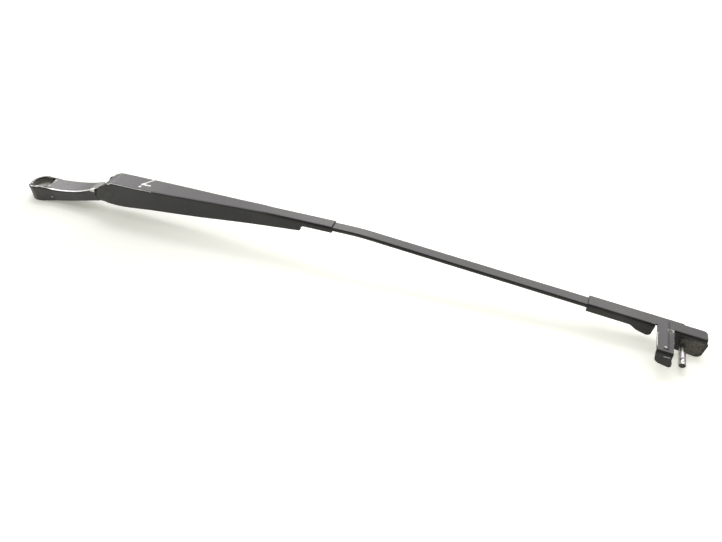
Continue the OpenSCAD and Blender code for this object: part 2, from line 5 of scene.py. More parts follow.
import bmesh
import bpy
import numpy as np
from bpy.props import FloatProperty, FloatVectorProperty, IntProperty, PointerProperty
from mathutils import Matrix, Quaternion, Vector
from mathutils.kdtree import KDTree


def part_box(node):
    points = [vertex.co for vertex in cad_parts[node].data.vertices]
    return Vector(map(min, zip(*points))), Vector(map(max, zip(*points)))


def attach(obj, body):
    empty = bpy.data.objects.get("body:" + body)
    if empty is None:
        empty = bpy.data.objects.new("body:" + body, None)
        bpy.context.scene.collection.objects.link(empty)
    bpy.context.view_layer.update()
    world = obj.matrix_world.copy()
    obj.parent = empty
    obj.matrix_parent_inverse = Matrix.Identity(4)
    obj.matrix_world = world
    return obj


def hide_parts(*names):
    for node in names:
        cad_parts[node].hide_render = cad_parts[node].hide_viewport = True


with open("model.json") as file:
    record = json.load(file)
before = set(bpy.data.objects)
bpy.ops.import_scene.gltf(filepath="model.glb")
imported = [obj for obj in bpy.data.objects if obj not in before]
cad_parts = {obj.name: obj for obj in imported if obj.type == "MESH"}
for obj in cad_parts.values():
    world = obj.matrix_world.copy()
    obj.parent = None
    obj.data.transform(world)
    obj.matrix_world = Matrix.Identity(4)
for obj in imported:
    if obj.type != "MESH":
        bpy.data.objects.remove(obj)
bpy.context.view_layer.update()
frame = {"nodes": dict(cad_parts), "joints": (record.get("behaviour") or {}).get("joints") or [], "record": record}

bl_info = {
    "name": "Wiper Arm",
    "version": (1, 0, 0),
    "blender": (4, 5, 0),
    "location": "View3D > Sidebar > Wiper Arm",
    "description": "Models the finished pieces of a car wiper arm and the stage that shows it",
    "category": "Object",
}

MM = 0.001

# Places taken from the frame, in metres
HINGE = Vector(next(j["pos_m"] for j in frame["joints"] if j["name"] == "arm_lift"))
PIN_MIDDLE = Vector(next(m["pos_m"] for m in frame["record"]["mounts"] if m["name"] == "side_pin"))
HEAD_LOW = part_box("head")[0]
COVER_LOW, COVER_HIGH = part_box("retainer")
PIN_LOW, PIN_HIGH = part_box("side_pin")
ARM_MIDDLE = (HEAD_LOW.x + PIN_HIGH.x) / 2

WHITE = (1.0, 1.0, 1.0, 1.0)


def colour_setting(name, description, default):
    return FloatVectorProperty(name=name, description=description, subtype="COLOR", size=3, min=0, max=1,
                               default=default)


def length_setting(name, description, least, most, default):
    """A length that is given in millimetres."""
    return FloatProperty(name=name, description=description, subtype="DISTANCE", unit="LENGTH",
                         min=least * MM, max=most * MM, default=default * MM, precision=5)


class FinishSettings(bpy.types.PropertyGroup):
    """Colours and surface finish of the arm's metal and plastic."""
    head_paint: colour_setting("Head Paint", "Satin paint on the cast head", (0.022, 0.0205, 0.0205))
    cover_paint: colour_setting("Cover Paint", "Satin paint on the cover, the rod and the tip",
                                (0.014, 0.0134, 0.0132))
    # Pale metal of the marked edges: bare metal where the paint is rubbed off, and a painted highlight along the
    # near top edges
    worn_metal_and_highlight: colour_setting("Worn Metal", "Bare metal where the paint has rubbed off", (0.78, 0.78, 0.76))
    pin_steel: colour_setting("Pin Steel", "Bare turned steel of the side pin", (0.42, 0.41, 0.40))
    zinc_plate: colour_setting("Zinc Plate", "Dull zinc on the spring and its link", (0.50, 0.51, 0.49))
    nylon: colour_setting("Nylon", "Natural nylon of the hinge bushes", (0.76, 0.73, 0.64))
    # Pale pocket colour: dusty bare metal on the floor, and painted light on the shaded wall and in the hole
    pocket_metal_and_light: colour_setting("Pocket", "Dusty bare metal inside the head's pocket", (0.55, 0.55, 0.51))
    pen_white: colour_setting("Paint Pen", "White pen stroke on the cover", (1.0, 1.0, 1.0))
    paint_gloss: FloatProperty(
        name="Paint Roughness", description="Roughness of the satin paint",
        min=0.1, max=0.9, default=0.31)
    paint_sheen: FloatProperty(
        name="Paint Sheen", description="Strength of the satin paint's reflection",
        min=0, max=1, default=0.36)


class ShapeSettings(bpy.types.PropertyGroup):
    """Sizes of the softened edges and of the remeshed casting."""
    casting_voxel: length_setting("Casting Voxel", "Grid size that the casting is remeshed at",
                                  0.3, 1.2, 0.45)
    casting_smooth: IntProperty(
        name="Casting Smoothing", description="Rounds of smoothing that soften the casting's edges",
        min=0, max=20, default=3)
    sheet_edge: length_setting("Sheet Edge", "Softening of the cut edges of sheet metal", 0.05, 0.4, 0.18)
    small_edge: length_setting("Small Edge", "Softening of the edges of pins, bushes and rivets",
                               0.05, 0.3, 0.12)


class StageSettings(bpy.types.PropertyGroup):
    """Floor, lamps and camera."""
    floor_colour: colour_setting("Floor", "Colour of the table top", (0.96, 0.96, 0.96))
    lens: FloatProperty(
        name="Lens", description="Focal length on a 36 mm sensor", subtype="DISTANCE_CAMERA",
        min=10, max=100, default=29.37)
    key_power: FloatProperty(
        name="Key Lamp", description="Power of the lamp overhead that draws the shadow's core",
        subtype="POWER", min=0, max=100, default=4)
    soft_power: FloatProperty(
        name="Soft Lamp", description="Power of the very wide lamp around the key lamp",
        subtype="POWER", min=0, max=100, default=17)
    panel_glow: FloatProperty(
        name="Back Panels", description="Radiance of the panels behind the arm that its paint mirrors",
        min=0, max=20, default=4.9)
    rim_glow: FloatProperty(
        name="Rim Panel", description="Radiance of the small panel that lights the near edges",
        min=0, max=40, default=9)
    fill_strength: FloatProperty(
        name="Fill", description="Strength of the even light of the surroundings", min=0, max=2, default=0.31)
    floor_glow: FloatProperty(
        name="Floor Glow", description="Brightening of the floor where the camera sees it",
        min=0, max=1, default=0.30)


def mm(x, y, z):
    """A place or a size given in millimetres."""
    return Vector((x, y, z)) * MM


def ease(value, start, stop):
    """0 at the start and 1 at the stop, with a soft step between, in either direction."""
    share = min(1.0, max(0.0, (value - start) / (stop - start)))
    return share * share * (3 - 2 * share)


def near_tilt(normal):
    """How far a normal leans to the near side from straight up, in degrees."""
    return math.degrees(math.atan2(-normal.y, normal.z))


def deselect_all():
    """Leaves edit mode and selects nothing."""
    if bpy.context.mode != "OBJECT":
        bpy.ops.object.mode_set(mode="OBJECT")
    bpy.ops.object.select_all(action="DESELECT")


def make_active(piece):
    """Makes a piece the only selected object."""
    deselect_all()
    piece.select_set(True)
    bpy.context.view_layer.objects.active = piece


# Corners nearer than this are one, and faces within this angle in degrees are flat to each other
MERGE_DISTANCE = 0.004 * MM
FLAT_ANGLE = 0.1


def copy_of(node, name):
    """A merged copy of a frame solid, to be finished as a piece of its own."""
    piece = bpy.data.objects.new(name, frame["nodes"][node].data.copy())
    bpy.context.scene.collection.objects.link(piece)
    piece.data.materials.clear()
    make_active(piece)
    bpy.ops.object.mode_set(mode="EDIT")
    bpy.ops.mesh.select_all(action="SELECT")
    bpy.ops.mesh.remove_doubles(threshold=MERGE_DISTANCE)
    bpy.ops.mesh.dissolve_limited(angle_limit=math.radians(FLAT_ANGLE))
    bpy.ops.object.mode_set(mode="OBJECT")
    return piece


def apply_modifier(piece, kind, **values):
    """Adds one modifier, sets it and applies it."""
    make_active(piece)
    modifier = piece.modifiers.new(kind.title(), kind)
    for key, value in values.items():
        setattr(modifier, key, value)
    bpy.ops.object.modifier_apply(modifier=modifier.name)


def smooth(piece, degrees):
    """Shades a piece smooth, except at edges that turn by more than an angle."""
    make_active(piece)
    bpy.ops.object.shade_smooth_by_angle(angle=math.radians(degrees))


# Edges that turn by more than the first angle are rounded, and after that the ones that still turn
# by more than the second stay crisp, in degrees. No edge turns by more than the third
ROUNDED_ANGLE = 35
CRISP_ANGLE = 50
ANY_ANGLE = 180
ROUNDING_STEPS = 2


def soften(piece, width):
    """Rounds the sharp edges and keeps the faces between them flat."""
    apply_modifier(piece, "BEVEL", width=width, segments=ROUNDING_STEPS, limit_method="ANGLE",
                   angle_limit=math.radians(ROUNDED_ANGLE), miter_outer="MITER_ARC",
                   use_clamp_overlap=False)
    smooth(piece, CRISP_ANGLE)
    apply_modifier(piece, "WEIGHTED_NORMAL", keep_sharp=True, weight=50)


# The turn that marks an edge in full, in degrees, and the widest face that a rounded edge leaves
FULL_TURN = 40
EDGE_WIDTH = 0.3 * MM
# The first strip of the near top bend: its tilt in degrees, the depth of its ridge, and the marks on
# the ridge and below it, which paint a highlight along the bend as pale metal
STRIP_TILT = (20, 62)
RIDGE_DEPTH = 0.1 * MM
RIDGE_MARK = 1.0
STRIP_MARK = 0.75


def outward_turn(edge):
    """How far a closed surface turns outward over an edge, in degrees."""
    return math.degrees(edge.calc_face_angle_signed(0.0))


def mark_edges(piece, crest=None):
    """Stores for each corner of the narrow faces how sharply the surface turns outward there.

    A crest is a range along X in which the first strip of the near top bend is marked too,
    for a painted highlight along the bend.
    """
    mesh = piece.data
    grid = bmesh.new()
    grid.from_mesh(mesh)
    turn = {}
    for edge in grid.edges:
        for vert in edge.verts:
            turn[vert.index] = max(turn.get(vert.index, 0.0), outward_turn(edge) / FULL_TURN)
    values = []
    for face in grid.faces:
        longest = max(edge.calc_length() for edge in face.edges)
        narrow = face.calc_area() < longest * EDGE_WIDTH
        on_crest = crest is not None and crest[0] < face.calc_center_median().x < crest[1]
        bend = on_crest and STRIP_TILT[0] < near_tilt(face.normal) < STRIP_TILT[1]
        ridge = max(vert.co.z for vert in face.verts) - RIDGE_DEPTH
        for vert in face.verts:
            if bend:
                values.append(RIDGE_MARK if vert.co.z > ridge else STRIP_MARK)
            else:
                values.append(min(1.0, turn[vert.index]) if narrow else 0.0)
    grid.free()
    layer = mesh.attributes.new("edge", "FLOAT", "CORNER")
    layer.data.foreach_set("value", np.array(values, np.float32))


def press_groove(piece, line, half_width, depth, beyond, outer):
    """Presses a groove into both sides of a piece along a line given in X and Z.

    It starts at a distance beyond the middle plane and has its full depth at the outer faces.
    """
    for vert in piece.data.vertices:
        share_out = (abs(vert.co.y) - beyond) / (outer - beyond)
        if share_out < 0:
            continue
        here = Vector((vert.co.x, vert.co.z))
        away = half_width
        for a, b in zip(line, line[1:]):
            share = min(1.0, max(0.0, (here - a).dot(b - a) / (b - a).length_squared))
            away = min(away, (here - a.lerp(b, share)).length)
        vert.co.y -= math.copysign(share_out * depth * (1 - (away / half_width) ** 2), vert.co.y)


# The cover's top bends are tightened up to this place along X, and ever less between the next two
BENDS_END = 284 * MM
BENDS_FADE = (276 * MM, 255 * MM)
# A full row across the cover has at least this many corners
FULL_ROW = 12
# A tightened bend is a rounded square of this power. The sheet's inner face, nearer to the bend's
# middle than this share of its radius, stays
BEND_POWER = 5
BEND_CORE = 0.8


def tighten_bends(piece, radius, from_x):
    """Pushes the rounded corners between the top and the cheeks outward, so that they bend tighter."""
    rows = {}
    for vert in piece.data.vertices:
        rows.setdefault(round(vert.co.x / MM), []).append((abs(vert.co.y), vert.co.z))
    stations = sorted(x for x, row in rows.items() if len(row) >= FULL_ROW and from_x < x * MM < BENDS_END)
    halves = [max(y for y, z in rows[x]) for x in stations]
    tops = [max(z for y, z in rows[x]) for x in stations]
    for vert in piece.data.vertices:
        across = abs(vert.co.y) - np.interp(vert.co.x / MM, stations, halves) + radius
        up = vert.co.z - np.interp(vert.co.x / MM, stations, tops) + radius
        away = math.hypot(across, up)
        if vert.co.x < from_x or across <= 0 or up <= 0 or away < BEND_CORE * radius:
            continue
        square = ((across / away) ** BEND_POWER + (up / away) ** BEND_POWER) ** (-1 / BEND_POWER)
        push = (square - 1) * ease(vert.co.x, *BENDS_FADE)
        vert.co.y += math.copysign(across * push, vert.co.y)
        vert.co.z += up * push


# The rear end of the pin's plate, as a box from the pin's middle in millimetres
PLATE_END = ((-7.9, -6.0), (9, 11.6), (2.5, 13))
# The line beside the strap that it moves to: its place along X at its top, the height of the top and
# how far it leans for each millimetre down
NOTCH_X = -8.95
NOTCH_TOP = 12.8
NOTCH_LEAN = 0.11


def close_notch(piece):
    """Moves the rear end of the pin's plate up to the strap, which leaves only a fine gap."""
    for vert in piece.data.vertices:
        apart = (vert.co - PIN_MIDDLE) / MM
        if all(low < value < high for value, (low, high) in zip(apart, PLATE_END)):
            vert.co.x = PIN_MIDDLE.x + (NOTCH_X + NOTCH_LEAN * (NOTCH_TOP - apart.z)) * MM


# The tip falls by this angle along the arm, in degrees. From the pin's middle, the strap's top lies
# this high and its rib within this range along it. What stands this far above the strap is the rib,
# and it keeps this share of its height
TIP_FALL = 5.83
STRAP_TOP = 11.8 * MM
RIB_RANGE = (-22 * MM, -9 * MM)
RIB_FOOT = 0.05 * MM
RIB_SHARE = 0.55


def lower_rib(piece):
    """Lowers the rib that stands up from the strap to a share of its height."""
    fall = math.radians(TIP_FALL)
    up = Vector((math.sin(fall), 0, math.cos(fall)))
    along = Vector((math.cos(fall), 0, -math.sin(fall)))
    for vert in piece.data.vertices:
        apart = vert.co - PIN_MIDDLE
        above = apart.dot(up) - STRAP_TOP
        if above > RIB_FOOT and RIB_RANGE[0] < apart.dot(along) < RIB_RANGE[1]:
            vert.co -= up * above * (1 - RIB_SHARE)


# A rivet head's flat face is divided into this many rings before it is domed
DOME_RINGS = 4


def dome_caps(piece, face_y, middle, radius, height):
    """Turns the two flat heads of a rivet along Y into low domes whose rims end in the sheet."""
    grid = bmesh.new()
    grid.from_mesh(piece.data)
    caps = [face for face in grid.faces
            if abs(face.normal.y) > 0.99 and abs(face.calc_center_median().y) > face_y]
    for _ in range(DOME_RINGS):
        bmesh.ops.inset_individual(grid, faces=caps, thickness=radius / (DOME_RINGS + 1.5))
    for vert in grid.verts:
        if abs(vert.co.y) > face_y:
            share = min(1.0, Vector((vert.co.x - middle.x, vert.co.z - middle.z)).length / radius)
            vert.co.y = math.copysign(face_y + height * (1 - share ** 2), vert.co.y)
    grid.to_mesh(piece.data)
    grid.free()


# Distance between the points that an edge is followed by
LINE_SPACING = 0.3 * MM


def outward_line_points(piece, turn, accept):
    """Points along a solid's outward edges that turn by an angle in a range and whose normal is accepted."""
    least, most = turn
    grid = bmesh.new()
    grid.from_mesh(piece.data)
    points = []
    for edge in grid.edges:
        if not least < outward_turn(edge) < most:
            continue
        normal = (edge.link_faces[0].normal + edge.link_faces[1].normal).normalized()
        if accept(normal):
            a, b = (vert.co.copy() for vert in edge.verts)
            steps = max(1, int((b - a).length / LINE_SPACING))
            points.extend(a.lerp(b, i / steps) for i in range(steps + 1))
    grid.free()
    return points


# The head's eye as the photo shows it, in millimetres. It ends here along X
EYE_END = 28
# Half width of its straight side at two places along X
STRAIGHT_SIDE = ((3.0, 12.0), (22.0, 9.75))
# The waist is filled up to the straight side outside this half width, fully between the middle two of
# these places along X
WAIST_CORE = 5.0
WAIST = (0.0, 5.0, 18.0, 25.0)
# The near rim stands this much higher, and rises to that across, from the front, from behind and up
RIM_RISE = 3.1
RIM_ACROSS = (-5.0, -9.5)
RIM_FROM_FRONT = (-12.4, -5.0)
RIM_FROM_BEHIND = (EYE_END, 1.0)
RIM_UP = (1.5, 14.0)


def half_widths(piece):
    """The half width of the head at each millimetre along the eye, in millimetres."""
    widths = [0.0] * (EYE_END + 1)
    for vert in piece.data.vertices:
        step = round(vert.co.x / MM)
        if 0 <= step < len(widths) and abs(vert.co.x / MM - step) < 0.3:
            widths[step] = max(widths[step], abs(vert.co.y) / MM)
    return widths


def shaped_eye(place, widths):
    """Where a point of the head goes: the waist behind the eye filled, the near rim raised."""
    x, y, z = (value / MM for value in place)
    if x >= EYE_END:
        return place
    wide = float(np.interp(x, range(len(widths)), widths))
    (front_x, front_wide), (rear_x, rear_wide) = STRAIGHT_SIDE
    straight = front_wide + (x - front_x) * (rear_wide - front_wide) / (rear_x - front_x)
    if WAIST[0] < x < WAIST[3] and abs(y) > WAIST_CORE and straight > wide:
        filled = ease(abs(y), WAIST_CORE, wide) * ease(x, WAIST[0], WAIST[1]) * ease(x, WAIST[3], WAIST[2])
        y *= 1 + (straight / wide - 1) * filled
    near = ease(y, *RIM_ACROSS) * ease(x, *RIM_FROM_FRONT) * ease(x, *RIM_FROM_BEHIND)
    z += RIM_RISE * near * ease(z, *RIM_UP)
    return Vector((x, y, z)) * MM


# The pocket in the eye, in millimetres: the reach of its wall, how far it opens along X, the core that
# is all floor and hole, and the heights of the floor's underside, the wall's foot and the wall's top
POCKET_REACH = 10.1
POCKET_OPEN_X = 9.5
POCKET_CORE = 7
POCKET_UNDER = 5
WALL_FOOT = 8.1
WALL_TOP = 13.2
# Share of the pale pocket colour on the wall, painted light where the wall lies in shade
WALL_PAINTED_LIGHT = 0.35


def mark_inside(piece):
    """Stores 1 on the eye's floor and in its hole, and a lower value on the pocket's wall.

    The pale colour that these marks bring is bare metal on the floor, and painted light on the shaded wall
    and in the hole.
    """
    marks = []
    for vert in piece.data.vertices:
        x, y, z = (value / MM for value in vert.co)
        away = math.hypot(x, y)
        inside = away < POCKET_REACH and z > POCKET_UNDER and x < POCKET_OPEN_X
        if away < POCKET_CORE or inside and z < WALL_FOOT:
            marks.append(1.0)
        else:
            marks.append(WALL_PAINTED_LIGHT if inside and z < WALL_TOP else 0.0)
    layer = piece.data.attributes.new("inside", "FLOAT", "POINT")
    layer.data.foreach_set("value", np.array(marks, np.float32))


def mark_near(piece, points, reach):
    """Stores 1 at each vertex on one of the points, falling to 0 at a reach from them."""
    tree = KDTree(len(points))
    for index, point in enumerate(points):
        tree.insert(point, index)
    tree.balance()
    marks = [max(0.0, 1 - tree.find(vert.co)[2] / reach) for vert in piece.data.vertices]
    layer = piece.data.attributes.new("edge", "FLOAT", "POINT")
    layer.data.foreach_set("value", np.array(marks, np.float32))


def finish_piece(piece, material, body, slot, *nodes):
    piece.data.materials.append(material)
    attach(piece, body)
    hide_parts(*nodes)


class Nodes:
    """Short ways to place and join shader nodes in one tree."""

    def __init__(self, tree):
        self.tree = tree

    def add(self, kind, inputs=(), **values):
        """Places a node, sets its values, and joins or sets its inputs."""
        node = self.tree.nodes.new(kind)
        for key, value in values.items():
            setattr(node, key, value)
        for key, value in dict(inputs).items():
            if isinstance(value, bpy.types.NodeSocket):
                self.tree.links.new(value, node.inputs[key])
            else:
                node.inputs[key].default_value = value
        return node

    def math(self, operation, a, b=0.0, c=0.0):
        return self.add("ShaderNodeMath", {0: a, 1: b, 2: c}, operation=operation).outputs[0]

    def vector(self, operation, a, b=(0, 0, 0)):
        return self.add("ShaderNodeVectorMath", {0: a, 1: b}, operation=operation).outputs[0]

    def measure(self, operation, a, b):
        """The one value that two vectors give, such as their distance."""
        return self.add("ShaderNodeVectorMath", {0: a, 1: b}, operation=operation).outputs["Value"]

    def step(self, value, low, high):
        """0 below low and 1 above high, with a soft step between."""
        node = self.add("ShaderNodeMapRange", {"Value": value, "From Min": low, "From Max": high},
                        interpolation_type="SMOOTHSTEP")
        return node.outputs["Result"]

    def noise(self, vector, scale, detail=2.0, rough=0.5):
        node = self.add("ShaderNodeTexNoise",
                        {"Vector": vector, "Scale": scale, "Detail": detail, "Roughness": rough})
        return node.outputs["Fac"]

    def blend(self, factor, a, b):
        """Colour a where the factor is 0 and b where it is 1."""
        return self.add("ShaderNodeMix", {0: factor, 6: a, 7: b}, data_type="RGBA").outputs[2]

    def mix(self, factor, a, b):
        """Value a where the factor is 0 and b where it is 1."""
        return self.add("ShaderNodeMix", {0: factor, 2: a, 3: b}, data_type="FLOAT").outputs[0]

    def attribute(self, name):
        return self.add("ShaderNodeAttribute", attribute_name=name).outputs["Fac"]

    def group(self, name, inputs):
        """Places a shared effect, whose node group is made at its first use."""
        tree = bpy.data.node_groups.get(name) or make_effect(name)
        return self.add("ShaderNodeGroup", inputs, node_tree=tree).outputs[0]

    def feed(self, node, inputs):
        """Joins sockets to a node's inputs."""
        for key, socket in inputs.items():
            self.tree.links.new(socket, node.inputs[key])

    def bump(self, height, strength, depth):
        node = self.add("ShaderNodeBump", {"Height": height, "Strength": strength, "Distance": depth})
        return node.outputs[0]


def orange_peel(nodes, given):
    """Fine dimples of sprayed paint over a slow waviness."""
    fine = nodes.noise(given["Vector"], scale=given["Grain"])
    slow = nodes.noise(given["Vector"], scale=90.0, detail=1.0)
    return nodes.math("MULTIPLY_ADD", slow, 0.6, nodes.math("MULTIPLY", fine, 0.4))


def edge_wear_and_highlight(nodes, given):
    """Pale bare metal on the marked edges, in uneven patches: paint rubbed off, and on the near top edges also a
    painted highlight.
    """
    patches = nodes.math("MULTIPLY_ADD", nodes.noise(given["Vector"], scale=85.0), 0.9, 0.55)
    chips = nodes.noise(given["Vector"], scale=720.0, detail=3.0, rough=0.6)
    reach = nodes.math("MULTIPLY", given["Edge"], nodes.math("MULTIPLY", given["Amount"], patches))
    ragged = nodes.math("MULTIPLY_ADD", nodes.math("SUBTRACT", chips, 0.5), 0.45, reach)
    return nodes.step(ragged, 0.52, 0.66)


def dust_cover(nodes, given):
    """Sparse pale specks and a faint even veil."""
    specks = nodes.add("ShaderNodeTexVoronoi", {"Vector": given["Vector"], "Scale": 260.0, "Randomness": 1.0})
    here = nodes.noise(given["Vector"], scale=45.0, detail=1.0)
    size = nodes.math("MULTIPLY", nodes.step(here, 0.55, 0.75), 0.11)
    speck = nodes.math("LESS_THAN", specks.outputs["Distance"], size)
    veil = nodes.step(nodes.noise(given["Vector"], scale=24.0, detail=4.0, rough=0.6), 0.35, 0.8)
    mask = nodes.math("ADD", nodes.math("MULTIPLY", speck, 0.55), nodes.math("MULTIPLY", veil, 0.10))
    return nodes.math("MULTIPLY", mask, given["Amount"])


def near_place(nodes, given):
    """1 near a place and 0 beyond a reach from it."""
    away = nodes.measure("DISTANCE", given["Vector"], given["Place"])
    return nodes.step(nodes.math("DIVIDE", away, given["Reach"]), 1.0, 0.6)


# Noise scales of a patch's rim and of the speckle inside it, and how ragged its rim is
PATCH_GRAIN = 380.0
PATCH_SPECKLE = 874.0
PATCH_RAGGED = 0.8


def ragged_patch(nodes, given):
    """1 inside a ragged box and 0 outside, with soft sides."""
    apart = nodes.vector("SUBTRACT", given["Vector"], given["Middle"])
    size = nodes.vector("ABSOLUTE", nodes.vector("DIVIDE", apart, given["Half Size"]))
    parts = nodes.add("ShaderNodeSeparateXYZ", {0: size}).outputs
    furthest = nodes.math("MAXIMUM", nodes.math("MAXIMUM", parts[0], parts[1]), parts[2])
    spread = nodes.math("SUBTRACT", nodes.noise(given["Vector"], PATCH_GRAIN, detail=3.0, rough=0.6), 0.5)
    rim = nodes.math("MULTIPLY_ADD", spread, PATCH_RAGGED, furthest)
    inside = nodes.step(rim, 1.08, 0.88)
    speckle = nodes.noise(given["Vector"], PATCH_SPECKLE, detail=3.0, rough=0.65)
    bare = nodes.step(nodes.math("ADD", speckle, given["Fill"]), 0.94, 1.06)
    return nodes.math("MULTIPLY", inside, bare)


def pen_stroke(nodes, given):
    """A pen stroke between two points on a level face."""
    flat = nodes.vector("MULTIPLY", given["Vector"], (1, 1, 0))
    start = nodes.vector("SUBTRACT", flat, given["From"])
    span = nodes.vector("SUBTRACT", given["To"], given["From"])
    along = nodes.measure("DOT_PRODUCT", start, span)
    whole = nodes.measure("DOT_PRODUCT", span, span)
    share = nodes.add("ShaderNodeMath", {0: along, 1: whole}, operation="DIVIDE", use_clamp=True).outputs[0]
    foot = nodes.add("ShaderNodeVectorMath", {0: span, "Scale": share}, operation="SCALE").outputs[0]
    ragged = nodes.math("MULTIPLY_ADD", nodes.noise(given["Vector"], scale=900.0), 0.8, 0.6)
    edge = nodes.math("MULTIPLY", ragged, given["Width"])
    away = nodes.math("DIVIDE", nodes.measure("DISTANCE", start, foot), edge)
    return nodes.step(away, 1.1, 0.9)


# Each effect's function and the values it takes besides the place "Vector", of one number or of three
EFFECTS = {
    "Orange Peel": (orange_peel, {"Grain": 1}),
    "Edge Wear And Highlight": (edge_wear_and_highlight, {"Edge": 1, "Amount": 1}),
    "Dust": (dust_cover, {"Amount": 1}),
    "Near A Place": (near_place, {"Place": 3, "Reach": 1}),
    "Ragged Patch": (ragged_patch, {"Middle": 3, "Half Size": 3, "Fill": 1}),
    "Pen Stroke": (pen_stroke, {"From": 3, "To": 3, "Width": 1}),
}


def make_effect(name):
    """The node group of a shared effect, which gives one value."""
    build, inputs = EFFECTS[name]
    tree = bpy.data.node_groups.new(name, "ShaderNodeTree")
    for label, numbers in {"Vector": 3, **inputs}.items():
        kind = "NodeSocketVector" if numbers == 3 else "NodeSocketFloat"
        tree.interface.new_socket(name=label, in_out="INPUT", socket_type=kind)
    tree.interface.new_socket(name="Value", in_out="OUTPUT", socket_type="NodeSocketFloat")
    nodes = Nodes(tree)
    given = nodes.add("NodeGroupInput").outputs
    end = nodes.add("NodeGroupOutput")
    nodes.feed(end, {"Value": build(nodes, given)})
    return tree


def new_material(name):
    """An empty node material with its object coordinates and its Principled shader."""
    material = bpy.data.materials.new(name)
    material.use_nodes = True
    material.node_tree.nodes.clear()
    nodes = Nodes(material.node_tree)
    where = nodes.add("ShaderNodeTexCoord").outputs["Object"]
    shader = nodes.add("ShaderNodeBsdfPrincipled")
    out = nodes.add("ShaderNodeOutputMaterial")
    material.node_tree.links.new(shader.outputs[0], out.inputs[0])
    return material, nodes, where, shader


def opaque(colour, share=1.0):
    """A colour, or a share of its brightness, with full alpha."""
    return tuple(c * share for c in colour) + (1.0,)


DUST_COLOUR = (0.30, 0.29, 0.26, 1.0)
PEEL_GRAIN = 1100.0
PEEL_DEPTH = 0.05 * MM


def satin_paint(name, colour, wear=0.0, spots=(), strokes=(), patches=(), dust=0.5, inside=None):
    """Sprayed satin paint, pale on its marked edges, with pen strokes and bare, dusty or dark patches.

    The pale edges are rubbed bare, and along the near top edges they are also a painted highlight.
    A spot is (place, reach, strength), where the edges are rubbed more and so paler, and a stroke is
    (start, end, half width). A patch is (middle, half size, colour, roughness, metal, fill), and a fill
    of 1 covers it all; some patches are painted shade or a painted highlight. The inside colour shows
    where the piece's "inside" attribute marks it: bare metal on the pocket's floor, and painted light on
    its shaded wall and in its hole.
    """
    finish = bpy.context.scene.wiper_finish
    material, nodes, where, shader = new_material(name)
    shade = nodes.step(nodes.noise(where, scale=40.0, detail=3.0), 0.3, 0.7)
    base = nodes.blend(shade, opaque(colour, 0.86), opaque(colour, 1.16))
    base = nodes.blend(nodes.group("Dust", {"Vector": where, "Amount": dust}), base, DUST_COLOUR)
    cloud = nodes.noise(where, scale=60.0, detail=3.0, rough=0.6)
    fine = nodes.noise(where, scale=420.0)
    rough = nodes.math("MULTIPLY_ADD", fine, 0.10, finish.paint_gloss - 0.08)
    rough = nodes.math("MULTIPLY_ADD", cloud, 0.08, rough)
    metal = 0.0
    for middle, half, tint, roughness, metallic, fill in patches:
        mask = nodes.group(
            "Ragged Patch", {"Vector": where, "Middle": middle, "Half Size": half, "Fill": fill})
        base = nodes.blend(mask, base, opaque(tint))
        rough = nodes.mix(mask, rough, roughness)
        metal = nodes.mix(mask, metal, metallic)
    # The pocket's pale colour: bare metal on its floor, painted light on its shaded wall and in its hole
    if inside is not None:
        mark = nodes.attribute("inside")
        blotch = nodes.math("MULTIPLY_ADD", nodes.noise(where, scale=500.0, detail=3.0), 0.5, 0.75)
        base = nodes.blend(nodes.math("MULTIPLY", mark, blotch), base, opaque(inside))
        rough = nodes.mix(mark, rough, 0.5)
    amount = wear
    for place, reach, strength in spots:
        near = nodes.group("Near A Place", {"Vector": where, "Place": place, "Reach": reach})
        amount = nodes.math("MAXIMUM", amount, nodes.math("MULTIPLY", near, strength))
    # Pale edges: rubbed-off paint, and on the near top edges of the head and the cover a painted highlight
    rubbed = nodes.group("Edge Wear And Highlight", {"Vector": where, "Edge": nodes.attribute("edge"), "Amount": amount})
    base = nodes.blend(rubbed, base, opaque(finish.worn_metal_and_highlight))
    rough = nodes.mix(rubbed, rough, 0.34)
    metal = nodes.mix(rubbed, metal, 0.85)
    for start, stop, width in strokes:
        pen = nodes.group("Pen Stroke", {"Vector": where, "From": start, "To": stop, "Width": width})
        base = nodes.blend(pen, base, opaque(finish.pen_white))
        rough = nodes.mix(pen, rough, 0.55)
    height = nodes.group("Orange Peel", {"Vector": where, "Grain": PEEL_GRAIN})
    height = nodes.math("MULTIPLY_ADD", rubbed, -0.8, height)
    nodes.feed(shader, {"Base Color": base, "Roughness": rough, "Metallic": metal,
                        "Normal": nodes.bump(height, 0.3, PEEL_DEPTH)})
    shader.inputs["Specular IOR Level"].default_value = finish.paint_sheen
    return material


PIT_COLOUR = (0.05, 0.045, 0.04, 1.0)
OXIDE_DARK = (0.055, 0.052, 0.047, 1.0)
OXIDE_PALE = (0.10, 0.095, 0.085, 1.0)
OXIDE_EDGE = 0.2 * MM
# How much finer the turning marks are along the axis than round it
TURNING_SCALE = (1, 14, 1)
METAL_DEPTH = 0.05 * MM


